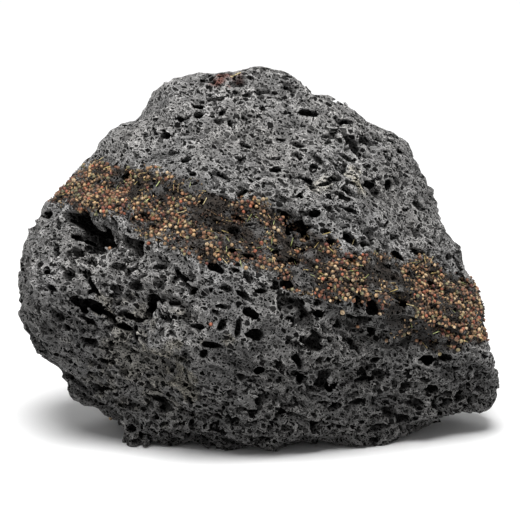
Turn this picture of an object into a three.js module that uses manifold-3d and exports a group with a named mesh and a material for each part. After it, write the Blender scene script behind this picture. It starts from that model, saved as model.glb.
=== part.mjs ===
// A lump of vesicular lava (scoria) about 200 mm long, as a display or aquarium stone.
//
// It is one natural piece, so it is one solid. Its shape starts from the outline seen from the front, swollen
// to the front and to the back like a pebble, and then broken by the things that break a real lump:
//   - facets, the flat faces where it split from a larger block,
//   - a shelf that runs down across the front, where the upper half is set back from the lower half,
//   - hollows and knobs, where large gas pockets burst or stayed whole,
//   - lumps of a few centimetres and of about one centimetre, all over.
// The small gas bubbles are part of the finish of the surface, so the solid doesn't carry them.
//
// Units are millimetres. X runs along the stone, Y from its front to its back and Z up. The origin is on the
// surface it rests on, under the middle of its bounding box.
import * as THREE from "three";
import { ImprovedNoise } from "three/addons/math/ImprovedNoise.js";
import { mergeVertices } from "three/addons/utils/BufferGeometryUtils.js";
import Module from "manifold-3d";

// --- driving dimensions ------------------------------------------------------------------------------------
const HEART_HEIGHT = 70.5; // the middle that every direction is measured from, above the resting face
const LEAN = 12; // degrees that the outline's plane leans back from upright, as the stone lies
const REACH_FRONT = 69; // from the heart to the front face
const REACH_BACK = 64; // from the heart to the back face
const FULLNESS = 2.6; // 2 swells the outline like an ellipsoid, more makes it boxier
const RIM_ANGLE = 34; // degrees from the outline's plane over which its small notches fade out
const DETAIL = 17; // each of the 20 faces of the starting ball is split into (DETAIL + 1) squared triangles

// The outline from the front, starting at 0, as [degrees anticlockwise from +X, reach from the heart].
const OUTLINE = [
  [0, 82], [4, 82.5], [9, 80], [15, 76.5], [22, 77.5], [31, 75.5], [40, 78], [50, 73.5], [58, 72.5],
  [68, 73], [75, 73.5], [84, 77.5], [100, 80.5], [112, 85], [122, 83.5], [130, 78.5], [138, 82], [150, 84],
  [161, 85.5], [171, 94], [183, 100], [195, 102], [206, 95], [219, 94.5], [228, 90], [238, 97], [248, 90],
  [258, 87], [268, 86], [279, 84], [290, 86], [300, 91], [310, 96], [320, 102.5], [330, 115], [338, 101],
  [347, 96], [354, 87.5],
];

// Flat faces left where the block split: which way each faces and how far it lies from the heart.
const FACETS = [
  { faces: [0.1, -0.72, 0.69], reach: 68 }, // the sloping upper front
  { faces: [-0.42, -0.9, 0.02], reach: 75 }, // the lower left of the front
  { faces: [0.4, -0.78, -0.48], reach: 73 }, // the lower right of the front, turned under
  { faces: [-0.3, -0.58, -0.76], reach: 78 }, // under the front
  { faces: [0.7, -0.6, 0.38], reach: 76 }, // the upper right shoulder
  { faces: [0.42, 0.8, 0.43], reach: 68 }, // the back, right
  { faces: [-0.55, 0.75, 0.38], reach: 72 }, // the back, left
  { faces: [-0.15, 0.8, -0.58], reach: 70 }, // under the back
];
const EDGE_ROUNDING = 2.6; // how softly one face turns into the next

// The shelf's middle line, from its upper left end to its lower right end, as [x, z] from the heart.
const SHELF = { from: [-80, 31], to: [94, -24], width: 26, setback: 13 };

// Where a gas pocket burst (depth over 0) or a knob stands out (depth under 0), as a place on the stone seen
// from the heart, its half length and half height, and how far its length turns anticlockwise from level.
const HOLLOWS = [
  { toward: [-66, -40, 12], size: [17, 8], turn: -25, depth: 11 }, // under the shelf's left end
  { toward: [34, -60, -26], size: [18, 7], turn: -42, depth: 7 }, // the groove below the shelf
  { toward: [73, -42, -38], size: [9, 7], turn: -10, depth: 6 }, // by the right end
  { toward: [-50, -60, -50], size: [16, 8], turn: -25, depth: 5 }, // low on the left
  { toward: [-48, -17, -74], size: [13, 12], turn: 0, depth: -8 }, // the left foot
  { toward: [-28, -15, -76], size: [12, 12], turn: 0, depth: 5 }, // the gap between the left and middle feet
  { toward: [24, -18, -74], size: [24, 15], turn: 0, depth: 9 }, // the gap between the middle and right feet
  { toward: [14, -60, 20], size: [10, 7], turn: -30, depth: 6 }, // at the top of the shelf
  { toward: [-20, -70, -28], size: [24, 15], turn: 10, depth: -4 }, // the brow of the lower front
  { toward: [88, -20, -42], size: [16, 12], turn: 0, depth: -4 }, // the right end's knob
  { toward: [-76, -44, -8], size: [20, 20], turn: 0, depth: -5 }, // the swelling of the left end
  { toward: [-30, 60, 20], size: [16, 10], turn: 30, depth: 7 }, // on the back, left
  { toward: [38, 58, -12], size: [19, 8], turn: -25, depth: 8 }, // on the back, right
  { toward: [0, 60, -34], size: [12, 9], turn: 10, depth: 6 }, // on the back, low
  { toward: [20, 40, 62], size: [16, 10], turn: 20, depth: 6 }, // on the back of the crown
];

// Lumps all over: the size of one lump and how far it stands out.
const LUMPS = [
  { size: 34, height: 3.2 },
  { size: 15, height: 1.9 },
  { size: 8, height: 0.9 },
];

// --- shape -------------------------------------------------------------------------------------------------
const radians = THREE.MathUtils.degToRad;
const smoothstep = THREE.MathUtils.smoothstep;
const noise = new ImprovedNoise();

// The outline's reach at an angle, rounded through its points by a Catmull-Rom curve.
function outlineReach(degrees) {
  const at = (i) => OUTLINE[(i + OUTLINE.length) % OUTLINE.length];
  const angle = THREE.MathUtils.euclideanModulo(degrees, 360);
  let i = OUTLINE.length - 1;
  while (OUTLINE[i][0] > angle) i -= 1;
  const span = THREE.MathUtils.euclideanModulo(at(i + 1)[0] - at(i)[0], 360);
  const t = (angle - at(i)[0]) / span;
  const [a, b, c, d] = [at(i - 1)[1], at(i)[1], at(i + 1)[1], at(i + 2)[1]];
  return b + 0.5 * t * (c - a + t * (2 * a - 5 * b + 4 * c - d + t * (3 * (b - c) + d - a)));
}

// The same outline with its notches smoothed away, for the faces that turn away from it.
function broadReach(degrees) {
  const spread = [-32, -16, 0, 16, 32];
  return spread.reduce((sum, step) => sum + outlineReach(degrees + step), 0) / spread.length;
}

// The swollen outline: its reach in a direction from the heart.
function pebbleReach(direction) {
  const across = Math.hypot(direction.x, direction.z);
  const degrees = THREE.MathUtils.radToDeg(Math.atan2(direction.z, direction.x));
  const offPlane = THREE.MathUtils.radToDeg(Math.atan2(Math.abs(direction.y), across));
  const rim = Math.exp(-((offPlane / RIM_ANGLE) ** 2));
  const sideways = rim * outlineReach(degrees) + (1 - rim) * broadReach(degrees);
  const depth = direction.y < 0 ? REACH_FRONT : REACH_BACK;
  return ((across / sideways) ** FULLNESS + (Math.abs(direction.y) / depth) ** FULLNESS) ** (-1 / FULLNESS);
}

// The nearer of the pebble and the facets, with rounded edges between them.
function facetedReach(direction, reach) {
  const along = new THREE.Vector3();
  let sum = Math.exp(-reach / EDGE_ROUNDING);
  for (const facet of FACETS) {
    const facing = along.set(...facet.faces).normalize().dot(direction);
    if (facing > 0.1) sum += Math.exp(-facet.reach / facing / EDGE_ROUNDING);
  }
  return -EDGE_ROUNDING * Math.log(sum);
}

// How far the front is set back at a point above the shelf.
function shelfSetback(point, direction) {
  const [fromX, fromZ] = SHELF.from;
  const run = new THREE.Vector2(SHELF.to[0] - fromX, SHELF.to[1] - fromZ).normalize();
  const above = run.x * (point.z - fromZ) - run.y * (point.x - fromX);
  const onFront = smoothstep(-direction.y, 0.05, 0.5);
  return SHELF.setback * onFront * smoothstep(above, -SHELF.width / 2, SHELF.width / 2);
}

// How far the hollows draw in the surface at a point, less how far the knobs push it out.
function hollowDepth(point) {
  let depth = 0;
  for (const hollow of HOLLOWS) {
    const outward = new THREE.Vector3(...hollow.toward).normalize();
    if (outward.dot(point) <= 0) continue;
    const side = new THREE.Vector3(0, 0, 1).cross(outward).normalize();
    side.applyAxisAngle(outward, radians(hollow.turn));
    const up = outward.clone().cross(side);
    const centre = new THREE.Vector3(...hollow.toward).setLength(point.length());
    const offset = point.clone().sub(centre);
    const far = Math.hypot(offset.dot(side) / hollow.size[0], offset.dot(up) / hollow.size[1]);
    depth += hollow.depth * (1 - smoothstep(far, 0.25, 1.35));
  }
  return depth;
}

// How far the lumps stand out at a point.
function lumpHeight(point) {
  return LUMPS.reduce((sum, { size, height }, layer) => {
    const shift = 7.3 * (layer + 1);
    return sum + height * noise.noise(point.x / size + shift, point.y / size - shift, point.z / size + shift);
  }, 0);
}

function stoneReach(direction) {
  const reach = facetedReach(direction, pebbleReach(direction));
  const point = direction.clone().multiplyScalar(reach);
  return reach - shelfSetback(point, direction) - hollowDepth(point) + lumpHeight(point);
}

// A ball of even triangles, each corner moved out to the stone's surface, leant back and lifted to its height.
function stoneSurface() {
  const ball = new THREE.IcosahedronGeometry(1, DETAIL);
  ball.deleteAttribute("normal");
  ball.deleteAttribute("uv");
  const surface = mergeVertices(ball, 1e-5);
  const corners = surface.getAttribute("position");
  const direction = new THREE.Vector3();
  for (let i = 0; i < corners.count; i += 1) {
    direction.fromBufferAttribute(corners, i).normalize();
    const corner = direction.clone().multiplyScalar(stoneReach(direction));
    corners.setXYZ(i, corner.x, corner.y, corner.z);
  }
  return surface.rotateX(-radians(LEAN)).translate(0, 0, HEART_HEIGHT);
}

// --- the resting face --------------------------------------------------------------------------------------
const wasm = await Module();
wasm.setup();

function solidOf(geometry) {
  return new wasm.Manifold(new wasm.Mesh({
    numProp: 3,
    vertProperties: new Float32Array(geometry.getAttribute("position").array),
    triVerts: new Uint32Array(geometry.index.array),
  }));
}

function geometryOf(solid) {
  const { vertProperties, triVerts } = solid.getMesh();
  return new THREE.BufferGeometry()
    .setAttribute("position", new THREE.BufferAttribute(vertProperties, 3))
    .setIndex(new THREE.BufferAttribute(triVerts, 1));
}

// The ground the stone was broken flat against: a block with its top face at height 0.
function groundBlock() {
  const side = 400;
  const block = new THREE.BoxGeometry(side, side, side).translate(0, 0, -side / 2);
  block.deleteAttribute("normal");
  block.deleteAttribute("uv");
  return mergeVertices(block, 1e-5);
}

const rested = geometryOf(solidOf(stoneSurface()).subtract(solidOf(groundBlock())));
rested.computeBoundingBox();
const middle = rested.boundingBox.getCenter(new THREE.Vector3());
rested.translate(-middle.x, -middle.y, 0);
rested.computeVertexNormals();

const basalt = new THREE.MeshStandardMaterial({ color: 0x55555a, roughness: 0.95, metalness: 0 });
const stone = new THREE.Mesh(rested, basalt);
stone.name = "stone";

const lavaRock = new THREE.Group();
lavaRock.add(stone);
export default lavaRock;
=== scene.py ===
# %% [markdown]
# # A lump of lava rock with grains caught on its ledge
#
# The object is one piece of scoria, a basalt that froze while gas was boiling out of it. What makes it look
# real is its surface: thousands of burst bubbles with thin, sharp rims, a ledge across the front that has
# gathered small round grains, dust and chaff, and the way light dies inside the deeper holes. This lesson
# builds the stone's skin first, then what lies on it, then the finishes, the floor and the light.

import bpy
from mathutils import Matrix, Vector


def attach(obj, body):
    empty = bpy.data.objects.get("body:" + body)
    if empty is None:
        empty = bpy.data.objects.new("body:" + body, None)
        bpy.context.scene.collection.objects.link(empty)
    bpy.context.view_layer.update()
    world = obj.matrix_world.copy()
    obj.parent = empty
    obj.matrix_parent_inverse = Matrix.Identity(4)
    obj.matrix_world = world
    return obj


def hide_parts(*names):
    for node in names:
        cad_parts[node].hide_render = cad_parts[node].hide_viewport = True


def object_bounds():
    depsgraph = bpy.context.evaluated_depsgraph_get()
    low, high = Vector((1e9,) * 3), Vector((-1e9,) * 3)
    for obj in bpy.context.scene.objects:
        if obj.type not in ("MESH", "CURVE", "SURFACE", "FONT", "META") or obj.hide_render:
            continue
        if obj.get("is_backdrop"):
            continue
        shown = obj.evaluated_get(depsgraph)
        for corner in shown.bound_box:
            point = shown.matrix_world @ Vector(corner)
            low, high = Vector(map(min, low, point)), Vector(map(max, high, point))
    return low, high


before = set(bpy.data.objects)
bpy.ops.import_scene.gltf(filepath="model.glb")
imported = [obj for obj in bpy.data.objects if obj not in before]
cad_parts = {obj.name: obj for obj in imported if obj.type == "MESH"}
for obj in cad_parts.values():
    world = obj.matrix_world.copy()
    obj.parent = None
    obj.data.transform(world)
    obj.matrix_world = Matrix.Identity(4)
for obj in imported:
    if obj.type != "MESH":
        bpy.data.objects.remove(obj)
cad_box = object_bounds()
print("the packed stone spans", [round(side * 1000, 1) for side in cad_box[1] - cad_box[0]], "mm")

# %% [markdown]
# ## Camera
#
# The stone is seen from the front and a little above, from well back, so that it shows almost no
# perspective. All places on the front are given from the stone's heart, the middle of its outline: how far
# across, and how far up the leaning plane of the outline. The camera is on the line that stands square on
# that plane.

# %% Set the camera
import math

import bpy
import numpy as np
import openvdb
from mathutils import Matrix, Vector
from mathutils.bvhtree import BVHTree
from mathutils.kdtree import KDTree

MM = 0.001
LEAN = math.radians(12)
HEART = Vector((0.8, 3.8, 70.5)) * MM
ACROSS = Vector((1, 0, 0))
UP_FRONT = Vector((0, math.sin(LEAN), math.cos(LEAN)))
OUT_FRONT = Vector((0, -math.cos(LEAN), math.sin(LEAN)))
CAMERA_DISTANCE = 1.4
VIEW_WIDTH = 0.2184  # how much of the outline's plane the view takes in
VIEW_RISE = 0.84 * MM  # how far the middle of the view is above the heart

bpy.ops.object.select_all(action="DESELECT")
bpy.ops.object.camera_add(location=HEART + OUT_FRONT * CAMERA_DISTANCE + UP_FRONT * VIEW_RISE)
camera = bpy.context.object
camera.name = "camera"
camera.rotation_euler = (math.pi / 2 - LEAN, 0, 0)
camera.data.sensor_width = 36
camera.data.lens = camera.data.sensor_width * CAMERA_DISTANCE / VIEW_WIDTH
camera.data.clip_end = 20
bpy.context.scene.camera = camera
EYE = camera.location.copy()
print("the camera is", CAMERA_DISTANCE, "m from the heart, with a lens of", round(camera.data.lens), "mm")

# %% [markdown]
# ## The stone's body
#
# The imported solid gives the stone's lumps and its resting face, but it is smooth between them. A sculptor
# would go over it with a burr. Blender's booleans are too slow for thousands of small cuts, so the cutting
# happens in a block of distances: each point of a fine grid holds how far it is from the surface, below 0
# inside. Cutting a bubble is then one comparison for each point near it, and one more step turns the block
# back into a mesh. The CAD mesh stays as it is: a copy of it is merged and measured.

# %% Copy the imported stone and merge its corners
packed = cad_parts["stone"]
bpy.ops.object.select_all(action="DESELECT")
body = bpy.data.objects.new("body", packed.data.copy())
bpy.context.collection.objects.link(body)
bpy.context.view_layer.objects.active = body
body.select_set(True)
bpy.ops.object.mode_set(mode="EDIT")
bpy.ops.mesh.select_all(action="SELECT")
bpy.ops.mesh.remove_doubles(threshold=0.01 * MM)
bpy.ops.object.mode_set(mode="OBJECT")
print("the body has", len(body.data.vertices), "corners and", len(body.data.polygons), "faces")

# %% Turn it into a block of distances
VOXEL = 0.62  # mm between the block's points
OUTSIDE_BAND = 7  # points measured outside the skin, and inside it
INSIDE_BAND = 21


def corners_of(mesh):
    """The mesh's corners, in millimetres."""
    found = np.empty(len(mesh.vertices) * 3, np.float32)
    mesh.vertices.foreach_get("co", found)
    return found.reshape(-1, 3) / MM


def triangles_of(mesh):
    mesh.calc_loop_triangles()
    found = np.empty(len(mesh.loop_triangles) * 3, np.int32)
    mesh.loop_triangles.foreach_get("vertices", found)
    return found.reshape(-1, 3)


grid_scale = openvdb.createLinearTransform(VOXEL)
distances = openvdb.FloatGrid.createLevelSetFromPolygons(
    corners_of(body.data),
    triangles=triangles_of(body.data).astype(np.uint32),
    transform=grid_scale,
    exBandWidth=OUTSIDE_BAND,
    inBandWidth=INSIDE_BAND,
)
block_low, block_high = (np.array(corner) for corner in distances.evalActiveVoxelBoundingBox())
smooth_skin = np.empty(block_high - block_low + 1, np.float32)
distances.copyToArray(smooth_skin, ijk=tuple(int(i) for i in block_low))
block = smooth_skin.copy()
print("the block has", block.shape, "points, from", block_low * VOXEL, "mm")

# %% [markdown]
# ## Broken skin
#
# Where scoria breaks, it breaks through its bubbles, so even between the open holes the skin is a net of
# sharp little ridges around shallow scoops. Smooth noise has no ridges, but the distance of smooth noise
# from zero has them wherever it changes sign. Lumps of smooth noise and four sizes of such ridges, added to
# the distances, roughen the skin. Each is as high as the sizes below say, and they are sunk again by their
# usual height, so that the stone doesn't shrink.

# %% Roughen the skin with ridges
def smooth_noise(size, seed):
    """Random values about `size` mm apart, joined smoothly over the whole block."""
    counts = [int(side * VOXEL / size) + 5 for side in block.shape]
    values = np.random.default_rng(seed).standard_normal(counts).astype(np.float32)
    for axis, count in enumerate(block.shape):
        at = np.arange(count) * VOXEL / size
        first = at.astype(int)
        t = (at - first).astype(np.float32)
        shape = [1, 1, 1]
        shape[axis] = count
        weights = ((1 - t) ** 3, 3 * t**3 - 6 * t**2 + 4, -3 * t**3 + 3 * t**2 + 3 * t + 1, t**3)
        values = sum(np.take(values, first + k, axis) * (w / 6).reshape(shape) for k, w in enumerate(weights))
    return values


LUMP_HEIGHT = 1.7  # mm
RIDGE_HEIGHT, RAGGED_HEIGHT, GRITTY_HEIGHT, CRAG_HEIGHT = 1.3, 0.6, 0.2, 3.2  # mm
RIDGES_SUNK, CRAGS_SUNK = 0.8, 1  # mm

lumpy = smooth_noise(7, seed=1)
ragged = smooth_noise(2.6, seed=2)
gritty = smooth_noise(1.3, seed=3)
calm = smooth_noise(24, seed=5)  # says later where the stone has few bubbles
ridged = smooth_noise(4.5, seed=4)
craggy = smooth_noise(12, seed=6)
block += LUMP_HEIGHT * lumpy
fine_ridges = RIDGE_HEIGHT * np.abs(ridged) + RAGGED_HEIGHT * np.abs(ragged) + GRITTY_HEIGHT * np.abs(gritty)
block += fine_ridges - RIDGES_SUNK
block += CRAG_HEIGHT * np.abs(craggy) - CRAGS_SUNK

# %% [markdown]
# ## Layers of the flow
#
# The lava was still moving when it froze, so its skin is drawn out in slanting layers, a few millimetres
# thick and some centimetres long. The same kind of ridged noise makes them, from lumps that are long along
# the flow and thin across it. They are added only near the skin, because nothing else of the block is ever
# seen.

# %% Add the layers of the flow
FLOW_TILT = math.radians(-22)
FLOW = Vector((math.cos(FLOW_TILT), 0, math.sin(FLOW_TILT)))
# Each: length, width, thickness and height in mm, and a seed.
LAYERS = ((24, 12, 4.2, 2.2, 61), (11, 7, 2.2, 1.1, 62))
LATTICE = 100  # random values along each side of the noise, before it repeats
NEAR_SKIN = 5  # mm
USUAL_LAYER = 0.3  # the layers' usual height, as a share of their full height


def drawn_noise(places, sizes, seed):
    """Random values joined smoothly, their lumps drawn out along the flow."""
    axes = np.array([FLOW, (0, 1, 0), FLOW.cross(Vector((0, 1, 0)))])
    along = places @ (axes / np.array(sizes)[:, None]).T + LATTICE / 2
    first = np.floor(along).astype(int)
    t = along - first
    t = t * t * (3 - 2 * t)
    lattice = np.random.default_rng(seed).standard_normal((LATTICE, LATTICE, LATTICE))
    total = 0
    for step in np.ndindex(2, 2, 2):
        weight = np.prod(np.where(step, t, 1 - t), axis=1)
        total = total + weight * lattice[tuple((first + step).T % LATTICE)]
    return total


near = np.nonzero(np.abs(block) < NEAR_SKIN)
places = (np.stack(near, 1) + block_low) * VOXEL
fades = np.interp(places[:, 2], (60, 110), (1, 0.35))  # the layers show most in the lower half
for length, width, thickness, height, seed in LAYERS:
    layer = np.abs(drawn_noise(places, (length, width, thickness), seed))
    block[near] += (fades * height * (layer - USUAL_LAYER)).astype(np.float32)
print("points in the layers:", len(places))
broken_skin = block.copy()
print("the skin is roughened by up to", round(float((block - smooth_skin).max()), 1), "mm")

# %% [markdown]
# ## Cutting bubbles
#
# A burst bubble is an ellipsoid drawn out along the flow of the lava. Its wall isn't true, because it froze
# around its neighbours, so noise about as coarse as the bubble is added to its distance.

# %% Cut an ellipsoid out of the block
LARGE_BUBBLE = 1.6  # mm in radius, from which a bubble's wall wavers coarsely


def cut(centre, axes, radii, waver=0.3):
    """Cuts an ellipsoid: rows of `axes` are its directions, `radii` its half lengths in mm."""
    reach = np.sqrt(((axes * radii[:, None]) ** 2).sum(0)) * (1 + waver) + VOXEL
    first = np.maximum(np.floor((centre - reach) / VOXEL).astype(int) - block_low, 0)
    last = np.minimum(np.ceil((centre + reach) / VOXEL).astype(int) - block_low + 1, block.shape)
    if (first >= last).any():
        return
    part = tuple(slice(a, b) for a, b in zip(first, last))
    x, y, z = np.ogrid[part]
    offset = [(p + block_low[i]) * np.float32(VOXEL) - np.float32(centre[i]) for i, p in enumerate((x, y, z))]
    turned = [offset[0] * a[0] + offset[1] * a[1] + offset[2] * a[2] for a in axes.astype(np.float32)]
    near = sum((t / r) ** 2 for t, r in zip(turned, radii)) ** 0.5
    steep = sum((t / r**2) ** 2 for t, r in zip(turned, radii)) ** 0.5
    wall = near * (near - 1) / np.maximum(steep, 1e-6)
    size = float(radii.min())
    wavy = ragged if size > LARGE_BUBBLE else gritty
    np.maximum(block[part], -wall - waver * size * wavy[part], out=block[part])


# %% Turn the block back into a skin
def skin_of_block():
    """The block's surface as corners in mm and triangles that face outwards."""
    band = 3 * VOXEL
    grid = openvdb.FloatGrid(band)
    grid.copyFromArray(np.clip(block, -band, band), ijk=tuple(int(i) for i in block_low), tolerance=1e-6)
    grid.transform = grid_scale
    corners, triangles, quads = grid.convertToPolygons(isovalue=0, adaptivity=0)
    return corners, np.concatenate([triangles, quads[:, (0, 1, 2)], quads[:, (0, 2, 3)]]).astype(np.int64)


corners, triangles = skin_of_block()
a, b, c = (corners[triangles[:, k]] for k in range(3))
volume = float((a * np.cross(b, c)).sum() / 6)
print("a first skin has", len(triangles), "triangles and holds", round(volume / 1e6, 2), "litres")

# %% [markdown]
# ## The large gas pockets
#
# The pockets that catch the eye are listed one by one, each where the line of sight through a point of the
# outline's plane meets the front. A pocket's length lies in that plane, turned by its angle, and it goes in
# half way between straight back and square to the skin. The deep ones are undercut: their widest part is
# below their mouth.

# %% Find a place on the front
body_bvh = BVHTree.FromPolygons(
    [Vector(corner) for corner in corners_of(body.data)], triangles_of(body.data).tolist()
)
EYE_MM = EYE / MM
HEART_MM = HEART / MM


def on_front(across, up):
    """The place on the front behind a point of the outline's plane, in mm, and the way it faces."""
    aim = HEART_MM + ACROSS * across + UP_FRONT * up
    place, facing, _, _ = body_bvh.ray_cast(EYE_MM, (aim - EYE_MM).normalized())
    return place, facing


# %% List the large pockets
# Each: across, up, half length, half width, turn in degrees, depth; in mm from the heart.
POCKETS = [
    # the recess under the ledge's left end, and the gash with a slab over it
    (-69, 11, 13, 7, -35, 7), (-72, 16.5, 9, 3, -27, 12), (-63, 9, 7, 3.6, -45, 10),
    (-79, 19.5, 3, 2, -10, 6), (-73.5, -17, 6, 1.9, -8, 9), (-68.5, -19.5, 3, 2.4, -40, 9),
    (-69.5, -11, 4.4, 1, -50, 6), (-63.5, -23, 3.8, 1.2, -50, 6), (-58, -27.3, 3.4, 1.4, -18, 6),
    (-53.8, -30.5, 3, 1.1, -55, 5), (-48.5, -33.2, 4.2, 0.9, -24, 4.5), (-55.4, -34, 3, 1.6, -10, 3),
    # the left end
    (-84.8, 10.5, 2.3, 1.5, -15, 4), (-76, 4.2, 3.2, 2, -45, 5), (-92.4, -1.7, 1.5, 1.5, 0, 3),
    (-89.5, -4, 1.5, 1.2, 0, 3), (-80.6, -5.5, 2.2, 1.9, 0, 4), (-94.5, -6.3, 1.8, 1.4, 0, 2.5),
    (-74, -20.4, 1.6, 1.5, 0, 8), (-71.4, -25.6, 3, 1.1, -30, 4), (-60.9, -17.2, 2.1, 1.1, -10, 3.5),
    (-55.4, -15.1, 2.6, 1.6, -30, 4), (-63.4, -35.3, 1.8, 1.5, 0, 4), (-66.4, -46.2, 3.8, 1.6, -25, 5),
    (-57, -46.6, 2.2, 1.3, 0, 3), (-62, -42, 1.3, 1.3, 0, 3),
    # the middle of the lower half
    (-45.8, -16.8, 2.5, 2.6, 0, 7), (-49.1, -22.3, 2.7, 1.8, -10, 6), (-52.2, -22.4, 1.3, 1.5, 0, 4),
    (-38.6, -23, 3, 1.7, -10, 4), (-31, -21.8, 2.6, 1.2, -50, 4), (-37.8, -16.4, 1.3, 1.8, 0, 3.5),
    (-43.3, -12.6, 1.3, 1.1, 0, 3), (-31.5, -8, 6.6, 1.2, -48, 5), (-27.7, -12.4, 2, 2, 0, 6),
    (-40.7, -29, 1.8, 1.2, 0, 3), (-29.4, -30.2, 1.3, 1.1, 0, 3), (-20.2, -35.3, 3.8, 1.2, -6, 5),
    (-23.5, -38.6, 1.4, 1.3, 0, 4), (-8, -47.5, 1.2, 1.9, 0, 4), (-31.5, -51.7, 1.3, 1.3, 0, 4),
    (-4.2, -21.4, 3.2, 1.8, -20, 6), (-2.9, -30.7, 3.9, 2, -8, 6), (-9.2, -27.7, 3.8, 1, 80, 5),
    (-16.4, -18.5, 2.2, 1.2, -15, 3), (0, -12.2, 2.6, 0.9, 0, 4), (6.7, -10.5, 2.2, 1, 0, 4),
    (-10.5, 13.9, 2.1, 1.8, 0, 5), (-11.8, 4.6, 1.7, 1.3, 0, 4),
    # the foot of the front
    (-43.3, -57.1, 7.5, 1.6, -33, 5), (-51.2, -57, 4, 3, 0, 4), (-57.5, -60.5, 2.6, 1.3, 0, 4),
    (-14.7, -53.8, 3.8, 1.7, -8, 3), (-22.3, -56.3, 2.2, 1.1, 0, 4), (-13.9, -59, 2.8, 1, 0, 4),
    (-16.8, -69.7, 4.2, 2.2, 0, 5), (-31.9, -67.6, 4.4, 1.4, 0, 5), (-7.6, -72.7, 2, 1.3, 0, 3),
    (-4.2, -63, 2.1, 1.7, 0, 4), (0.8, -74.5, 3.2, 2, 0, 4), (12.6, -64, 8, 0.8, -20, 3.5),
    (50.4, -69.7, 3.4, 1.5, 0, 4), (32.8, -69.7, 3, 1.3, 0, 4),
    # the recess with thin webs at the top of the ledge, and the groove below the ledge
    (13, 14.5, 7, 5, -35, 6), (16.5, 15, 4, 2.6, -30, 10), (10.5, 19.5, 2.4, 1.4, -40, 7),
    (19, 10, 2, 1.4, -40, 7), (14.3, 0.8, 2.1, 1.7, 0, 6), (11.8, -9.7, 3, 1.6, -25, 6),
    (13, -18.5, 6, 4, -42, 3), (21.5, -26.5, 7, 4.5, -42, 3), (24, -31, 3, 1, -50, 5),
    (25.2, -21.8, 2.1, 1.1, -45, 4), (27.7, -27.7, 1.7, 1.5, 0, 4), (32.8, -26.5, 2, 1.5, 0, 5),
    (29.8, -33.2, 1.8, 1.3, 0, 4), (28.6, -40.3, 2.8, 1.1, -35, 5), (38.6, -38.6, 2.9, 1.1, -25, 5),
    # the lower right
    (47, -19.5, 3.8, 2.7, -20, 9), (39.5, -23.5, 5.5, 3, -15, 4), (69.7, -40.3, 3.8, 2.7, -10, 8),
    (72.2, -53.3, 3, 2, -20, 6), (61.3, -45.8, 1.3, 1.5, 0, 4), (44.5, -50, 4.3, 1.2, 0, 5),
    (45.8, -45, 3, 1.4, 10, 5), (30.7, -52.5, 2.2, 1.9, 20, 5), (17.6, -49.6, 2.3, 1.5, -10, 5),
    (22.3, -54.2, 2.7, 1, -25, 4), (40, -55.4, 2, 1.4, 0, 4), (73, -32.8, 2, 1.8, 0, 6),
    (83, -46, 2.4, 1.4, -20, 5), (78, -60, 3, 1.4, 20, 4), (90, -52, 1.8, 1.4, 0, 3),
    # in the ledge, and at its right end
    (57.5, 2.6, 4.6, 2.5, -33, 12), (46.2, -6.7, 3.4, 1.5, -20, 5), (56.3, -11, 3, 1, -25, 5),
    (72.2, -10, 1.8, 2.6, 0, 5), (87, -25, 2.6, 5.5, 0, 5), (84.5, -7, 4, 1.6, -60, 4),
    (-56.3, 36.1, 2, 2, 0, 5),
    # the upper right
    (46.2, 12.2, 2.2, 2.4, 0, 5), (53.8, 10, 2.1, 1.7, 0, 4), (66.4, 12.6, 2, 1.7, 0, 4),
    (6.9, 38.2, 2.6, 2.8, 0, 9), (2.9, 43, 1.8, 0.7, -60, 4), (20.2, 62.6, 3.8, 1.9, -5, 6),
    (37, 58.8, 2.5, 1.6, -10, 5), (37.8, 51.2, 4, 1.4, -45, 4), (35.3, 45, 3.1, 1.2, -15, 5),
    (29.4, 53.3, 2.5, 1, -10, 4), (29.4, 36.1, 3.9, 1.3, -10, 6), (20.2, 34, 4, 1.2, -30, 5),
    (22.7, 39.5, 1.8, 1.6, 0, 4), (29.8, 41.2, 1.6, 1.2, 0, 5), (46.6, 32.8, 2.7, 1.5, -5, 6),
    (50.4, 39.5, 4, 2.2, -40, 4), (39.5, 31.9, 3.6, 1.9, 0, 3), (34, 26, 4.2, 2.3, 0, 4),
    (17.6, 26.9, 1.9, 2.4, 0, 5), (8.8, 50.8, 1.7, 1.2, 0, 4), (49.6, 28.6, 2.6, 2.3, 0, 4),
    (53.8, 32.8, 1.5, 1.7, 0, 4), (63.4, 33.6, 1.3, 3.2, 25, 4), (67.2, 27.7, 1.1, 1.9, 0, 4),
    # the upper left
    (-24.4, 64.7, 3.4, 1.3, -12, 6), (-33.6, 60.1, 2, 1.1, -20, 4), (-30.2, 42.4, 2.6, 1.8, -30, 5),
    (-42.8, 42.4, 1.8, 2, 0, 4), (-37, 46.2, 2.7, 1, -25, 4), (-58, 53.8, 1.5, 1.1, 0, 4),
    (-26, 50, 3.2, 1, -12, 5), (-11.8, 62.2, 3, 0.9, -30, 4), (-5.9, 49.6, 2.3, 1.2, -25, 6),
    (-15.5, 36.1, 2.9, 1.1, -25, 5), (-4.6, 34.4, 2.1, 0.9, -15, 4), (-27.7, 37, 1.8, 1, -20, 4),
    (-21.4, 42.8, 1.3, 1.3, 0, 4), (-44.5, 58, 3.2, 2.6, 0, 2.5), (-25, 69.7, 6.5, 3, -5, 2),
    (-20.6, 76, 2.1, 0.9, 0, 4),
]

# %% Cut them
POCKET_SPREAD = np.array([1.2, 1.27, 0.62])  # how its ellipsoid compares with a pocket's mouth and depth
POCKET_WAVER = 0.42
LARGEST_CLEARANCE = 2.2  # mm, so that the large pockets have bubbles close to them too


def axes_from(along, inward):
    """Three square directions: the length of a pocket, its width, and its depth, which is kept."""
    depth = inward.normalized()
    length = (along - depth * along.dot(depth)).normalized()
    return np.array([length, depth.cross(length), depth])


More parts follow.
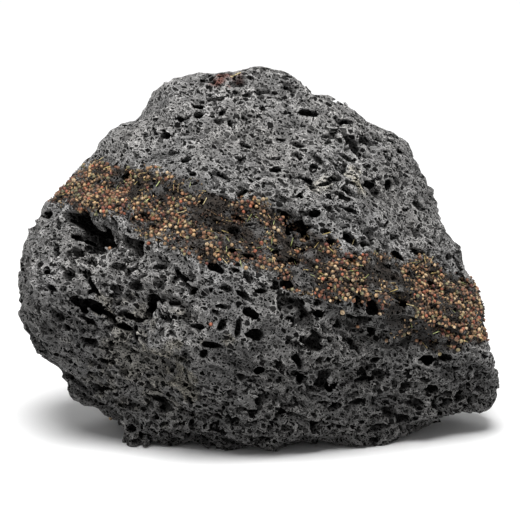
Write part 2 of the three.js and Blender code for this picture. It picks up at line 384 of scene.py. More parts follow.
pocket_places = []
for across, up, half_length, half_width, turn, depth in POCKETS:
    place, facing = on_front(across, up)
    if place is None:
        print("no stone at", across, up)
        continue
    angle = math.radians(turn)
    along = ACROSS * math.cos(angle) + UP_FRONT * math.sin(angle)
    axes = axes_from(along, -(facing + OUT_FRONT))
    centre = np.array(place) + axes[2] * depth * 0.4
    cut(centre, axes, np.array([half_length, half_width, depth]) * POCKET_SPREAD, waver=POCKET_WAVER)
    pocket_places.append((*place, min(half_width, LARGEST_CLEARANCE)))
print("large pockets:", len(pocket_places))

# %% [markdown]
# ## The ledge
#
# A ledge runs down across the front from the upper left to the lower right. Grains, earth and chaff have
# settled there and filled most of its bubbles. Its two edges are lines across the front; how much of the
# ledge's litter lies at a place depends on where it is between them, with their edges frayed by noise, and
# fades where the stone turns away from the front.

# %% Say where the ledge is
LEDGE_ACROSS = (-84, -69, -57, -46, -25, -4, 13, 29, 46, 59, 84, 97)
LEDGE_TOP = (34, 42.8, 40.5, 38.6, 34.4, 28, 19.7, 9.2, 6, 3, -1.3, -10)
LEDGE_FOOT = (24, 19.7, 16, 8, 1.5, -3.4, -11.8, -15.5, -21, -34, -41, -30)


def seen_from_front(places):
    """How far across and up the outline's plane the places appear, in mm from the heart."""
    away = places - np.array(EYE_MM)
    share = (CAMERA_DISTANCE / MM) / -(away @ np.array(OUT_FRONT))
    return away @ np.array(ACROSS) * share, away @ np.array(UP_FRONT) * share + VIEW_RISE / MM


def sample(values, places):
    """The block's values at places in mm, blended between its points."""
    at = places / VOXEL - block_low
    first = np.clip(np.floor(at).astype(int), 0, np.array(values.shape) - 2)
    t = np.clip(at - first, 0, 1)
    total = 0
    for step in np.ndindex(2, 2, 2):
        weight = np.prod(np.where(step, t, 1 - t), axis=1)
        total = total + weight * values[tuple((first + step).T)]
    return total


def smooth_facing(places):
    """The way the stone faces at these places, bubbles left out."""
    steps = 2.5 * np.eye(3)
    slope = np.stack([sample(smooth_skin, places + s) - sample(smooth_skin, places - s) for s in steps], 1)
    return slope / np.maximum(np.linalg.norm(slope, axis=1, keepdims=True), 1e-6)


def eased(values, low, high):
    t = np.clip((values - low) / (high - low), 0, 1)
    return t * t * (3 - 2 * t)


def ledge_share(places):
    """How much of the ledge's litter lies at each place, from 0 to 1."""
    across, up = seen_from_front(places)
    frayed = 5 * sample(lumpy, places)
    above_foot = up + frayed - np.interp(across, LEDGE_ACROSS, LEDGE_FOOT)
    below_top = np.interp(across, LEDGE_ACROSS, LEDGE_TOP) - up + frayed
    fronting = smooth_facing(places) @ np.array(OUT_FRONT)
    return eased(above_foot, -1, 3) * eased(below_top, -1, 3) * eased(fronting, -0.5, 0.1)


# %% [markdown]
# ## The bubbles all over
#
# Two passes of smaller bubbles go over the whole stone, each scattered on the skin that the pass before
# left, so that the walls of the large pockets have bubbles too. A bubble keeps clear of larger ones by
# about its own width, which leaves the thin rims between them.

# %% Scatter places over a skin
def random_places(corners, triangles, count, dice):
    """Places spread evenly over a surface, with the way it faces at each."""
    a, b, c = (corners[triangles[:, k]] for k in range(3))
    square = np.cross(b - a, c - a)
    area = np.linalg.norm(square, axis=1)
    chosen = dice.choice(len(triangles), count, p=area / area.sum())
    u, v = dice.random((2, count))
    u, v = np.where(u + v > 1, 1 - u, u), np.where(u + v > 1, 1 - v, v)
    a, b, c = a[chosen], b[chosen], c[chosen]
    return a + u[:, None] * (b - a) + v[:, None] * (c - a), (square / area[:, None])[chosen]


def clear_of_each_other(places, sizes, gap, taken=()):
    """Which places to keep, largest first, none closer than `gap` times the two sizes together."""
    everything = [*(p[:3] for p in taken), *places]
    reach = np.array([*(p[3] for p in taken), *sizes])
    tree = KDTree(len(everything))
    for i, place in enumerate(everything):
        tree.insert(place, i)
    tree.balance()
    dropped = np.zeros(len(everything), bool)
    kept = []
    order = [*range(len(taken)), *(len(taken) + np.argsort(-sizes, kind="stable"))]
    for i in order:
        if dropped[i]:
            continue
        if i >= len(taken):
            kept.append(int(i) - len(taken))
        for _, j, far in tree.find_range(everything[i], gap * 2 * reach[i]):
            if far < gap * (reach[i] + reach[j]):
                dropped[j] = True
    return kept


# %% Cut the bubbles
# Where the front has few large bubbles: across, up and reach, in mm.
TIGHT = [(-8, -32, 34), (-52, -45, 18), (-20, 52, 16)]
STEEPNESS = 2  # how much commoner the small bubbles are
SWING_ABOVE, SWING_BELOW = 22, 45  # degrees that bubbles lie off the flow, above the heart and below it
BUBBLE_WAVER = 0.5


def cut_bubbles(tries, smallest, largest, gap, seed, taken=()):
    dice = np.random.default_rng(seed)
    places, facing = random_places(*skin_of_block(), tries, dice)
    low, high = smallest**-STEEPNESS, largest**-STEEPNESS
    sizes = (low + dice.random(tries) * (high - low)) ** (-1 / STEEPNESS)
    kept = clear_of_each_other(places, sizes, gap, taken)
    open_here = np.clip(0.7 + 0.9 * sample(calm, places), 0.2, 1) * (1 - 0.7 * ledge_share(places))
    for across, up, reach in TIGHT:
        far = np.linalg.norm(places - np.array(on_front(across, up)[0]), axis=1) / reach
        open_here *= 0.55 + 0.45 * eased(far, 0.3, 1)
    kept = [i for i in kept if dice.random() < open_here[i]]
    for i in kept:
        out, size = Vector(facing[i]), sizes[i]
        swing = math.radians(dice.normal(0, SWING_ABOVE if places[i][2] > HEART_MM.z else SWING_BELOW))
        along = Matrix.Rotation(swing, 3, out) @ FLOW
        if abs(along.dot(out)) > 0.9:
            along = UP_FRONT
        axes = axes_from(along, -out)
        stretch = dice.uniform(1, 1.65)
        radii = size * np.array([stretch, dice.uniform(0.6, 0.95) / stretch**0.3, dice.uniform(0.9, 1.8)])
        centre = places[i] + axes[2] * radii[2] * dice.uniform(0.1, 0.6)
        cut(centre, axes, radii, BUBBLE_WAVER)
        for _ in range(dice.integers(0, 3)):
            aside = dice.uniform(-1.1, 1.1, 2) * radii[:2]
            beside = centre + axes[0] * aside[0] + axes[1] * aside[1]
            cut(beside, axes, radii * dice.uniform(0.4, 0.8), BUBBLE_WAVER)
    print("bubbles from", smallest, "to", largest, "mm in radius:", len(kept))


cut_bubbles(12000, 0.95, 3.0, gap=1.2, seed=11, taken=pocket_places)
cut_bubbles(24000, 0.62, 1.0, gap=1.5, seed=12)

# %% [markdown]
# ## Back to a mesh
#
# The block's surface is far finer than it needs to be where the stone is plain, so it is thinned by
# collapsing the edges that matter least, which leaves most corners on the rims. The sides and the back are
# thinned first and further, so that the front keeps the finer mesh. Loose crumbs that the cutting set free
# are dropped.

# %% Say how to thin a mesh
def thin(piece, chosen, target):
    """Collapses edges among the chosen corners until the whole mesh has about `target` triangles."""
    group = piece.vertex_groups.new(name="thinned_here")
    group.add(np.flatnonzero(chosen).tolist(), 1, "REPLACE")
    thinning = piece.modifiers.new("thinning", "DECIMATE")
    thinning.ratio = target / len(piece.data.polygons)
    thinning.vertex_group = group.name
    bpy.ops.object.modifier_apply(modifier=thinning.name)
    piece.vertex_groups.remove(piece.vertex_groups["thinned_here"])


def turned_away(places):
    """Which places face away from the front."""
    return smooth_facing(places) @ np.array(OUT_FRONT) < 0.1


# %% Make the skin a mesh and thin it
STONE_TRIANGLES = 198000
AWAY_TRIANGLES = 76000  # on the sides that face away from the front

corners, triangles = skin_of_block()
stone_mesh = bpy.data.meshes.new("stone_skin")
stone_mesh.from_pydata(corners * MM, [], triangles.tolist())
stone_skin = bpy.data.objects.new("stone_skin", stone_mesh)
bpy.context.collection.objects.link(stone_skin)
bpy.data.objects.remove(body)
print("the cut skin has", len(triangles), "triangles")

bpy.ops.object.select_all(action="DESELECT")
bpy.context.view_layer.objects.active = stone_skin
stone_skin.select_set(True)
away = turned_away(corners)
away_triangles = int(away[triangles].all(axis=1).sum())
thin(stone_skin, away, len(triangles) - away_triangles + AWAY_TRIANGLES)
thin(stone_skin, ~turned_away(corners_of(stone_skin.data)), STONE_TRIANGLES)
bpy.ops.object.mode_set(mode="EDIT")
bpy.ops.mesh.separate(type="LOOSE")
bpy.ops.object.mode_set(mode="OBJECT")
loose = sorted(bpy.context.selected_objects, key=lambda piece: -len(piece.data.vertices))
for crumb in loose[1:]:
    bpy.data.objects.remove(crumb)
stone_skin = loose[0]
stone_skin.name = "stone_skin"
print("crumbs dropped:", len(loose) - 1, "and the skin has", len(stone_skin.data.polygons), "faces")

# %% [markdown]
# ## What the finish needs to know about the skin
#
# Things about a place on the skin change its colour: how deep it lies below the stone's unbroken outside,
# because the insides of bubbles are glassy and dark, and further as painted shade in the holes; whether it
# bulges or sinks, as a painted highlight on rims and painted shade in creases; whether the stone faces up
# there, as painted light that lightens the top and darkens the underside; and whether the ledge's earth,
# rust or dust lies on it, the dust patches with a broad painted lightening of the lower left. They are
# stored on the mesh as attributes, so the material doesn't depend on anything outside the piece.

# %% Measure depth and rims
def edges_of(mesh):
    found = np.empty(len(mesh.edges) * 2, np.int32)
    mesh.edges.foreach_get("vertices", found)
    return found.reshape(-1, 2)


def normals_of(mesh):
    found = np.empty(len(mesh.vertices) * 3, np.float32)
    mesh.vertices.foreach_get("normal", found)
    return found.reshape(-1, 3)


def neighbours_mean(values, ends):
    """For each corner, the mean of the values at the other ends of its edges."""
    total = np.zeros_like(values)
    np.add.at(total, ends[:, 0], values[ends[:, 1]])
    np.add.at(total, ends[:, 1], values[ends[:, 0]])
    count = np.bincount(ends.ravel(), minlength=len(values))
    return total / np.maximum(count, 1).reshape(-1, *[1] * (values.ndim - 1))


def store(mesh, name, values):
    attribute = mesh.attributes.new(name, "FLOAT", "POINT")
    attribute.data.foreach_set("value", values.astype(np.float32))


skin = stone_skin.data
corners = corners_of(skin)
corners[:, 2] = np.maximum(corners[:, 2], 0)
skin.vertices.foreach_set("co", (corners * MM).ravel())
skin.update()
ends = edges_of(skin)
outward = normals_of(skin)
sunk = -sample(broken_skin, corners)
bulge = ((corners - neighbours_mean(corners, ends)) * outward).sum(1)
bulge = 0.5 * bulge + 0.5 * neighbours_mean(bulge, ends)
# sunk darkens the insides of bubbles: partly their dark glass, partly painted shade in the holes.
store(skin, "sunk", sunk)
# rim lightens rims as a painted highlight and darkens creases as painted shade.
store(skin, "rim", bulge)
# upward lightens the top and darkens the underside in the basalt's colour, as painted light and shade.
store(skin, "upward", smooth_facing(corners)[:, 2])
store(skin, "litter", ledge_share(corners))


def spots(places, where):
    """How much of a patch is at each place. Each patch: across, up, reach, strength."""
    total = np.zeros(len(places))
    for across, up, reach, strength in where:
        far = np.linalg.norm(places - np.array(on_front(across, up)[0]), axis=1) / reach
        frayed = 1 - far + 1.2 * sample(ragged, places) + 0.6 * sample(gritty, places)
        total += strength * eased(frayed, 0, 0.5)
    return np.minimum(total, 1)


# Pale dust patches, and the broad one over the lower left is painted light that lightens that side.
DUST_AND_LIGHT = [
    (39.9, 36.5, 6, 0.5), (42, 30.2, 5, 0.45), (-67, -16, 5, 0.4), (-39, -40, 8, 0.4), (-50, -42, 22, 0.3),
    (-32, -52, 8, 0.45), (-12.5, -33, 2.5, 0.6), (24, 31, 5, 0.3),
]
RUST = [(-14.7, 78, 4.5, 1), (-9, 78.5, 3, 0.7)]
store(skin, "dust_and_light", spots(corners, DUST_AND_LIGHT))
store(skin, "rust", spots(corners, RUST))
print("depth in mm, from 5% to 95%:", np.percentile(sunk, (5, 50, 95)).round(2))
print("rims in mm, from 5% to 95%:", np.percentile(bulge, (5, 50, 95)).round(2))

# %% [markdown]
# ## Adding nodes
#
# Every material here is made of shader nodes. One function adds a node of any kind, and the few kinds that
# are used over and over are written down once, with their settings. Colours are given as they look on a
# screen, and turned to the linear values that light adds up in.

# %% Add a node, and read a colour
def linear(hex_colour):
    """An sRGB hex colour as the linear values that the shader works in."""
    channels = [int(hex_colour[i : i + 2], 16) / 255 for i in (1, 3, 5)]
    return [c / 12.92 if c <= 0.04045 else ((c + 0.055) / 1.055) ** 2.4 for c in channels] + [1]


def add_node(tree, kind, inputs=(), **settings):
    """Adds a node with its settings. Inputs, in order or by name, are values, or nodes or sockets to link."""
    node = tree.nodes.new(kind)
    for name, value in settings.items():
        setattr(node, name, value)
    for name, value in inputs.items() if isinstance(inputs, dict) else enumerate(inputs):
        if isinstance(value, bpy.types.Node):
            value = value.outputs[0]
        if isinstance(value, bpy.types.NodeSocket):
            tree.links.new(value, node.inputs[name])
        else:
            node.inputs[name].default_value = value
    return node


def new_material(name):
    material = bpy.data.materials.new(name)
    material.use_nodes = True
    material.node_tree.nodes.clear()
    return material, material.node_tree


# A value carried smoothly from one range to another: value, from low, from high, to low, to high.
CARRIED = {"kind": "ShaderNodeMapRange", "interpolation_type": "SMOOTHSTEP"}
PRODUCT = {"kind": "ShaderNodeMath", "operation": "MULTIPLY"}
SUM = {"kind": "ShaderNodeMath", "operation": "ADD"}
LARGER = {"kind": "ShaderNodeMath", "operation": "MAXIMUM"}
BLEND = {"kind": "ShaderNodeMix", "data_type": "RGBA"}
BLENDED = 2  # the number of the colour among a blend's outputs
FIRST, SECOND = 6, 7  # the numbers of its two colours among its inputs

# %% [markdown]
# ## Basalt
#
# Scoria is basalt glass full of tiny crystals: nearly black inside, mid grey where it has weathered, rough
# enough to have almost no shine. Between the bubbles that the mesh can hold lies a froth of bubbles 1 to
# 2.5 mm across, too fine for it, so the material draws them: each cell of a Voronoi pattern is a bubble,
# open or not by chance, with a wall of its own thickness. An open bubble is painted nearly black, as painted
# shade inside it, and the wall is painted pale along its edge, as a painted highlight.

# %% Read what the skin knows about each place
basalt, tree = new_material("weathered_scoria_basalt")
place = add_node(tree, "ShaderNodeTexCoord").outputs["Object"]
depth, rim, upward, litter, dust_and_light, rust = (
    add_node(tree, "ShaderNodeAttribute", attribute_name=name).outputs["Fac"]
    for name in ("sunk", "rim", "upward", "litter", "dust_and_light", "rust")
)

# %% Draw the froth
WAVES = 700  # to the metre, so one in 1.4 mm, about as long as a bubble
WAVE_HEIGHT = 0.9 * MM
DRAWN_OUT = (1.2, 1, 0.92)  # how much longer, wider and higher a bubble is, along the flow
FROTH = ((2.5, 0.66), (1.25, 0.7))  # the size of a bubble's cell in mm, and the share of cells that are open
PINHOLE_CELL = 0.95  # mm; real pinholes are finer, and this is as fine as shows

wave = add_node(tree, "ShaderNodeTexNoise", {"Vector": place, "Scale": WAVES, "Detail": 2}).outputs["Color"]
shift = add_node(tree, "ShaderNodeVectorMath", (wave, (WAVE_HEIGHT,) * 3), operation="MULTIPLY")
waved = add_node(tree, "ShaderNodeVectorMath", (place, shift), operation="ADD")
turn = {"Vector": waved, "Rotation": (0, math.radians(25), 0), "Scale": DRAWN_OUT}
drawn_out = add_node(tree, "ShaderNodeMapping", turn, vector_type="TEXTURE")
# froth_hole paints the drawn holes dark as painted shade, some deeper than others; froth_web paints the
# walls' edges pale as a painted highlight.
froth_hole = 0
froth_web = 0
for cell, share in FROTH:
    pattern = {"Vector": drawn_out, "Scale": 1 / (cell * MM)}
    balls = add_node(tree, "ShaderNodeTexVoronoi", pattern)
    lots = add_node(tree, "ShaderNodeSeparateColor", (balls.outputs["Color"],))
    walls = add_node(tree, "ShaderNodeTexVoronoi", pattern, feature="DISTANCE_TO_EDGE")
    thickness = add_node(tree, inputs=(lots.outputs[1], 0, 1, -0.05, -0.22), **CARRIED)
    inside = add_node(tree, inputs=(walls, thickness), **SUM)
    opened = add_node(tree, inputs=(lots.outputs[0], share - 0.03, share + 0.03, 1, 0), **CARRIED)
    hole = opened
    web = opened
    for part in (
        (balls.outputs["Distance"], 0.46, 0.56, 1, 0),  # rounds the corners of the cell
        (inside, 0, 0.07, 0, 1),
        (lots.outputs[2], 0, 1, 0.5, 1),
    ):
        part = add_node(tree, inputs=part, **CARRIED)
        hole = add_node(tree, inputs=(hole, part), **PRODUCT)
    for part in ((inside, -0.1, -0.01, 0, 1), (inside, -0.01, 0.04, 1, 0)):
        part = add_node(tree, inputs=part, **CARRIED)
        web = add_node(tree, inputs=(web, part), **PRODUCT)
    froth_hole = add_node(tree, inputs=(froth_hole, hole), **LARGER)
    froth_web = add_node(tree, inputs=(froth_web, web), **LARGER)
pinholes = add_node(tree, "ShaderNodeTexVoronoi", {"Vector": waved, "Scale": 1 / (PINHOLE_CELL * MM)})
pinhole = add_node(tree, inputs=(pinholes.outputs["Distance"], 0.26, 0.34, 1, 0), **CARRIED)
froth_hole = add_node(tree, inputs=(froth_hole, pinhole), **LARGER)
beside_holes = add_node(tree, inputs=(froth_hole, 0, 0.5, 1, 0), **CARRIED)
froth_web = add_node(tree, inputs=(froth_web, beside_holes), **PRODUCT)

# %% Mix the colours of stone, dust and painted light, rust and earth
CLOUDS = 40  # to the metre, so one in 25 mm
CRYSTALS = 1300  # one in 0.8 mm; the real ones are finer, and this is as fine as shows
STAINS = 110  # one in 9 mm

NOISE_INPUTS = ("Vector", "Scale", "Detail", "Roughness")
cloud, crystal, stain = (
    add_node(tree, "ShaderNodeTexNoise", dict(zip(NOISE_INPUTS, (place, *kind))))
    for kind in ((CLOUDS, 4, 0.6), (CRYSTALS, 3, 0.75), (STAINS, 5, 0.65))
)
powdery = add_node(tree, inputs=(crystal, 0.4, 0.6, 0.4, 1), **CARRIED)
dusty_and_lit = add_node(tree, inputs=(dust_and_light, powdery), **PRODUCT)
blotched = add_node(tree, inputs=(stain, 0.4, 0.54, 0.5, 1), **CARRIED)
earthy = add_node(tree, inputs=(litter, blotched), **PRODUCT)
stone_colour = add_node(tree, inputs={0: cloud, FIRST: linear("#606061"), SECOND: linear("#777572")}, **BLEND)
# The pale olive goes on real dust patches, and on a broad patch over the lower left as painted light.
for share, hex_colour in ((dusty_and_lit, "#8a8474"), (rust, "#523630"), (earthy, "#211c18")):
    colours = {0: share, FIRST: stone_colour.outputs[BLENDED], SECOND: linear(hex_colour)}
    stone_colour = add_node(tree, inputs=colours, **BLEND)

# %% Paint shade into the holes and creases, highlights onto the rims and light onto the top, and finish the basalt
BUMP_HEIGHT = 0.6 * MM
shade = 1
for part in (
    # painted shade in the holes, beyond the dark glass inside them
    (depth, 0.6, 4, 1, 0.12),
    # painted highlight on rims, painted shade in creases
    (rim, -0.15, 0.3, 0.7, 1.35),
    # painted light: the top lighter and the underside darker, as light falls
    (upward, -0.5, 0.8, 0.4, 1.1),
    (crystal, 0.32, 0.68, 0.65, 1.35),
    (stain, 0.3, 0.7, 0.7, 1.3),
    # painted shade in the drawn holes
    (froth_hole, 0, 1, 1, 0.06),
    # painted highlight along the drawn walls
    (froth_web, 0, 1, 0.95, 2.3),
):
    shade = add_node(tree, inputs=(shade, add_node(tree, inputs=part, **CARRIED)), **PRODUCT)
colour = add_node(
    tree, "ShaderNodeVectorMath", {0: stone_colour.outputs[BLENDED], "Scale": shade}, operation="SCALE"
)
height = 0
for part, share in ((froth_hole, -1), (froth_web, 0.35), (crystal, 0.5)):
    height = add_node(tree, inputs=(height, add_node(tree, inputs=(part, share), **PRODUCT)), **SUM)
bump = add_node(tree, "ShaderNodeBump", {"Height": height, "Strength": 0.9, "Distance": BUMP_HEIGHT})
# The shine is taken out of deep places and drawn holes, as painted shade.
sheen = 0.35
for part in ((depth, 0.5, 3, 1, 0), (froth_hole, 0, 1, 1, 0)):
    sheen = add_node(tree, inputs=(sheen, add_node(tree, inputs=part, **CARRIED)), **PRODUCT)
surface = {"Base Color": colour, "Roughness": 0.75, "IOR": 1.5, "Specular IOR Level": sheen, "Normal": bump}
shader = add_node(tree, "ShaderNodeBsdfPrincipled", surface)
add_node(tree, "ShaderNodeOutputMaterial", {"Surface": shader})
print("the basalt has", len(tree.nodes), "nodes")
skin.materials.clear()
skin.materials.append(basalt)
bpy.ops.object.select_all(action="DESELECT")
bpy.context.view_layer.objects.active = stone_skin
stone_skin.select_set(True)
bpy.ops.object.shade_smooth_by_angle(angle=math.radians(42))

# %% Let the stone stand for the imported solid
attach(stone_skin, "root")
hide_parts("stone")

# %% [markdown]
# ## What lies on the ledge
#
# Round grains as big as millet, crumbs of earth, flakes of husk and bits of straw. One grain, one crumb and
# one straw are modelled, with few faces because there are thousands of copies, each turned and scaled at
# its own place on the stone's skin. A flake is a flattened crumb. Each copy carries one random number, its
# tint, which picks its colour.

# %% Model one grain, one crumb and one straw
def take_model(name):
    """Reads the active object's corners and faces, and removes it."""
    model = bpy.context.object
    bpy.ops.object.transform_apply(location=True, rotation=True, scale=True)
    shape = np.array([corner.co[:] for corner in model.data.vertices]), triangles_of(model.data)
    bpy.data.objects.remove(model)
    print("one", name, "has", len(shape[1]), "triangles")
    return shape


bpy.ops.mesh.primitive_cube_add(size=1.467)  # cast to a ball, it is as wide as a ball of radius 1.04
bpy.ops.object.mode_set(mode="EDIT")
bpy.ops.mesh.select_all(action="SELECT")
bpy.ops.mesh.subdivide(number_cuts=1)
bpy.ops.object.mode_set(mode="OBJECT")
rounding = bpy.context.object.modifiers.new("rounding", "CAST")
rounding.factor = 1
bpy.ops.object.modifier_apply(modifier=rounding.name)
bpy.ops.transform.resize(value=(1, 0.93, 0.88))
grain_shape = take_model("grain")

bpy.ops.mesh.primitive_ico_sphere_add(subdivisions=1, radius=1)
bpy.ops.object.mode_set(mode="EDIT")
bpy.ops.transform.vertex_random(offset=0.3, seed=5)
bpy.ops.object.mode_set(mode="OBJECT")
bpy.ops.transform.resize(value=(1, 0.8, 0.6))
crumb_shape = take_model("crumb")
flake_shape = crumb_shape[0] * (1, 0.9, 0.45), crumb_shape[1]

bpy.ops.mesh.primitive_cylinder_add(vertices=5, radius=0.09, depth=2)
bpy.ops.object.mode_set(mode="EDIT")
for height in (-0.33, 0.33):
    bpy.ops.mesh.select_all(action="SELECT")
    bpy.ops.mesh.bisect(plane_co=(0, 0, height), plane_no=(0, 0, 1))
bpy.ops.mesh.select_all(action="SELECT")
bpy.ops.transform.vertex_random(offset=0.03, seed=6)
bpy.ops.object.mode_set(mode="OBJECT")
bpy.ops.transform.resize(value=(1, 0.5, 1))
straw_shape = take_model("straw")


# %% Strew copies over the ledge
def strew(name, shape, places, axes, sizes, tints):
    """One mesh of copies of a shape. Each has its place in mm, its axes, its size in mm and its tint."""
    shape_corners, shape_faces = shape
    copies = np.einsum("ci,nij->ncj", shape_corners, axes) * sizes[:, None, None] + places[:, None, :]
    faces = shape_faces[None] + (np.arange(len(places)) * len(shape_corners))[:, None, None]
    mesh = bpy.data.meshes.new(name)
    mesh.from_pydata(copies.reshape(-1, 3) * MM, [], faces.reshape(-1, 3).tolist())
    mesh.shade_smooth()
    store(mesh, "tint", np.repeat(tints, len(shape_corners)))
    piece = bpy.data.objects.new(name, mesh)
    bpy.context.collection.objects.link(piece)
    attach(piece, "root")
    print(name, "has", len(places), "copies and", len(mesh.polygons), "triangles")
    return piece


def random_axes(count, dice):
    """Random turns, as rows of square directions."""
    turned, _ = np.linalg.qr(dice.standard_normal((count, 3, 3)))
    turned[:, 2] *= np.sign(np.linalg.det(turned))[:, None]
    return turned


def lying_axes(facing, dice):
    """Turns that lay a straw along the skin: its length is its Z."""
    length = np.cross(facing, dice.standard_normal(facing.shape))
    length /= np.linalg.norm(length, axis=1, keepdims=True)
    length += facing * dice.normal(0, 0.25, (len(facing), 1))
    length /= np.linalg.norm(length, axis=1, keepdims=True)
    side = np.cross(facing, length)
    side /= np.linalg.norm(side, axis=1, keepdims=True)
    return np.stack([side, np.cross(length, side), length], 1)


# %% Find where the litter gathers
HEAP_ACROSS = (-84, -45, -25, 0, 25, 50, 90)  # how thickly the litter lies along the ledge
HEAP = (0.32, 0.34, 0.32, 0.3, 0.3, 0.25, 0.25)


def gather(tries, smallest, largest, gap, crowding, seed):
    """Places on the ledge for things of these radii in mm, more of them where the litter gathers."""
    dice = np.random.default_rng(seed)
    places, facing = random_places(corners, triangles_of(skin), tries, dice)
    across, _ = seen_from_front(places)
    heap = sample(gathering, places) + crowding + np.interp(across, HEAP_ACROSS, HEAP)
    chance = ledge_share(places) * eased(heap, 0, 0.4) * eased(facing[:, 2], -0.5, 0.2)
    chosen = dice.random(tries) < chance
    places, facing = places[chosen], facing[chosen]
    sizes = dice.uniform(smallest, largest, len(places))
    kept = clear_of_each_other(places, sizes, gap)
    return places[kept], facing[kept], sizes[kept], dice


def strew_loose(name, shape, tries, smallest, largest, gap, crowding, seed, raised):
    """Copies lying as they fell, each raised off the skin by a share of its size."""
    places, facing, sizes, dice = gather(tries, smallest, largest, gap, crowding, seed)
    middles = places + facing * sizes[:, None] * raised
    return strew(name, shape, middles, random_axes(len(places), dice), sizes, dice.random(len(places)))


# %% Strew the grains, crumbs, flakes and chaff
gathering = smooth_noise(9, seed=21) + smooth_noise(3, seed=22)
grains = strew_loose("grains", grain_shape, 90000, 0.56, 0.92, gap=0.9, crowding=0.0, seed=31, raised=0.25)
crumbs = strew_loose("crumbs", crumb_shape, 200000, 0.28, 0.62, gap=0.72, crowding=0.35, seed=32, raised=0.3)
flakes = strew_loose("flakes", flake_shape, 90000, 0.4, 0.85, gap=0.8, crowding=0.25, seed=34, raised=0.5)
places, facing, sizes, dice = gather(6000, 0.7, 1.9, gap=1.0, crowding=0.5, seed=33)
axes = lying_axes(facing, dice)
chaff = strew("chaff", straw_shape, places + facing * 0.6, axes, sizes, dice.random(len(places)))

# %% Lay the single grains and straws that catch the eye
# Each: across, up, size in mm, tint; a straw also has its turn in degrees.
STRAY_GRAINS = [
    (-63, 5.5, 0.8, 0.05), (-47, 7.6, 0.85, 0.8), (-36, 5.5, 0.8, 0.7), (-69, 20, 0.7, 0.62),
    (-20.6, -26, 0.8, 0.8), (34.9, -20.6, 1.1, 0.7), (41, -27, 0.8, 0.05), (-12, 7, 0.85, 0.2),
    (-62.6, -65.5, 0.9, 0.7), (53, -33, 0.8, 0.35),
]
STRAY_STRAWS = [
    (-10.5, 78.5, 2.6, 0.05, 25), (-23.1, 25.6, 1.5, 0.05, 62), (39.2, 8.6, 1.5, 0.08, 70),
    (4.6, 4.6, 1.8, 0.75, 40), (13.4, 8.4, 1.7, 0.2, 75), (3.8, 6, 1.3, 0.2, -30), (-33, 21, 1.6, 0.08, 10),
    (30, 5, 1.8, 0.45, -40), (72, 1, 1.5, 0.1, 65), (56, -12, 2, 0.5, 20), (63, -18, 1.6, 0.1, -15),
]
skin_bvh = BVHTree.FromPolygons([Vector(corner) for corner in corners], triangles_of(skin).tolist())


def on_skin(across, up):
    """The place on the finished skin behind a point of the outline's plane, and the way it faces."""
    aim = HEART_MM + ACROSS * across + UP_FRONT * up
    place, facing, _, _ = skin_bvh.ray_cast(EYE_MM, (aim - EYE_MM).normalized())
    return np.array(place), np.array(facing)


def laid(strays):
    found = [on_skin(*stray[:2]) for stray in strays]
    sizes, tints = (np.array([stray[i] for stray in strays]) for i in (2, 3))
    return np.array([f[0] for f in found]), np.array([f[1] for f in found]), sizes, tints


places, facing, sizes, tints = laid(STRAY_GRAINS)
axes = random_axes(len(places), np.random.default_rng(41))
stray_grains = strew("stray_grains", grain_shape, places + facing * sizes[:, None] * 0.5, axes, sizes, tints)
places, facing, sizes, tints = laid(STRAY_STRAWS)
turns = [math.radians(stray[4]) for stray in STRAY_STRAWS]
lengths = np.array([ACROSS * math.cos(t) + UP_FRONT * math.sin(t) for t in turns])
sides = np.cross(np.array(OUT_FRONT), lengths)
axes = np.stack([sides, np.cross(lengths, sides), lengths], 1)
stray_straws = strew("stray_straws", straw_shape, places + np.array(OUT_FRONT) * 0.9, axes, sizes, tints)

# %% [markdown]
# ## Dry grain, earth and straw
#
# The grains are dry husks, tan to brick red, with a faint sheen. The crumbs are the same dark earth that
# stains the ledge, with bits of broken husk. The chaff is straw, bleached or still a little green. The
# mottling is about 1 mm apart, which is coarser than the real one, so that it shows.

# %% Colour the litter
def dyed(name, colours, roughness, mottling):
    """A material with a colour picked from a row by the tint, and this many spots to the metre."""
    material, tree = new_material(name)
    tint = add_node(tree, "ShaderNodeAttribute", attribute_name="tint").outputs["Fac"]
    picked = add_node(tree, "ShaderNodeValToRGB", (tint,))
    row = picked.color_ramp
    row.interpolation = "CONSTANT"
    while len(row.elements) < len(colours):
        row.elements.new(0.5)
    for i, hex_colour in enumerate(colours):
        row.elements[i].position = i / len(colours)
        row.elements[i].color = linear(hex_colour)
    here = add_node(tree, "ShaderNodeTexCoord").outputs["Object"]
    noise = add_node(tree, "ShaderNodeTexNoise", {"Vector": here, "Scale": mottling, "Detail": 3})
    mottled = add_node(tree, inputs=(noise, 0.3, 0.7, 0.4, 1.5), **CARRIED)
    colour = add_node(tree, "ShaderNodeVectorMath", {0: picked, "Scale": mottled}, operation="SCALE")
    bump = add_node(tree, "ShaderNodeBump", {"Height": noise, "Strength": 0.5, "Distance": 0.2 * MM})
    surface = {"Base Color": colour, "Roughness": roughness, "IOR": 1.45, "Normal": bump}
    shader = add_node(tree, "ShaderNodeBsdfPrincipled", surface)
    add_node(tree, "ShaderNodeOutputMaterial", {"Surface": shader})
    return material


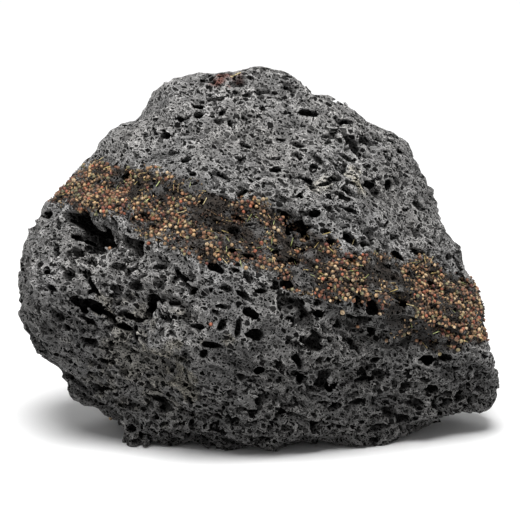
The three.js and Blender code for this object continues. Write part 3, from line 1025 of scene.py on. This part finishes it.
HUSKS = (
    "#936c4f", "#7a4f36", "#a68864", "#6a4432", "#8a6c4e", "#7e7252", "#5d352c", "#795a46", "#6c684c",
    "#ae9778", "#965840", "#52402f", "#876248",
)
EARTH = ("#1c1815", "#272019", "#141210", "#33281f", "#3d3327", "#4b3a2e", "#222122", "#6a5846")
FLAKES = ("#866a50", "#644232", "#ac9068", "#4a3228", "#74634a", "#33281f", "#9c8260", "#55492f")
STRAWS = ("#c4b588", "#7f8850", "#a08a5c", "#b8a468", "#6f6836", "#a6ae74", "#624a2c")
husk = dyed("dry_seed_husk", HUSKS, 0.36, 900)
grains.data.materials.append(husk)
stray_grains.data.materials.append(husk)
crumbs.data.materials.append(dyed("dark_earth_and_husk", EARTH, 0.9, 1500))
flakes.data.materials.append(dyed("broken_husk", FLAKES, 0.7, 1200))
straw = dyed("dry_straw", STRAWS, 0.6, 700)
chaff.data.materials.append(straw)
stray_straws.data.materials.append(straw)

# %% [markdown]
# ## Floor and light
#
# A pale floor that runs on past the view, one broad soft light above, a little in front and to the left,
# and a pale surround that fills the shadows.

# %% Lay the floor and hang the lights
FLOOR_WIDTH = 12  # metres, so that its edge is far outside the view
bpy.ops.mesh.primitive_plane_add(size=FLOOR_WIDTH, location=(0, 0, 0))
floor = bpy.context.object
floor.name = "floor"
floor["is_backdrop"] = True
paper, tree = new_material("matt_white_paper")
shader = add_node(tree, "ShaderNodeBsdfPrincipled", {"Base Color": linear("#fbfbfb"), "Roughness": 0.9})
add_node(tree, "ShaderNodeOutputMaterial", {"Surface": shader})
floor.data.materials.append(paper)


def hang_light(name, place, aim, size, power):
    bpy.ops.object.light_add(type="AREA", location=place)
    light = bpy.context.object
    light.name = name
    light.data.shape = "DISK"
    light.data.size = size
    light.data.energy = power
    light.rotation_euler = (Vector(aim) - light.location).to_track_quat("-Z", "Y").to_euler()


hang_light("softbox", (-0.1, -0.8, 1.95), HEART, 1.5, 62)
hang_light("background_light", (0, 2.3, 1.5), (0, 1.7, 0), 1.2, 13)
studio = bpy.data.worlds.new("studio")
bpy.context.scene.world = studio
studio.use_nodes = True
tree = studio.node_tree
tree.nodes.clear()
direction = add_node(tree, "ShaderNodeTexCoord").outputs["Generated"]
climb = add_node(tree, "ShaderNodeSeparateXYZ", (direction,)).outputs["Z"]
surround = add_node(tree, inputs=(climb, 0.05, 0.35, 1.0, 0.3), **CARRIED)  # pale low down, darker overhead
background = add_node(tree, "ShaderNodeBackground", {"Color": linear("#ffffff"), "Strength": surround})
add_node(tree, "ShaderNodeOutputWorld", {"Surface": background})
bpy.context.scene.view_settings.view_transform = "Standard"

visual_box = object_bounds()
growth = [[round((v - c) * 1000, 1) for v, c in zip(*pair)] for pair in zip(visual_box, cad_box)]
print("the stone grew by", growth, "mm")
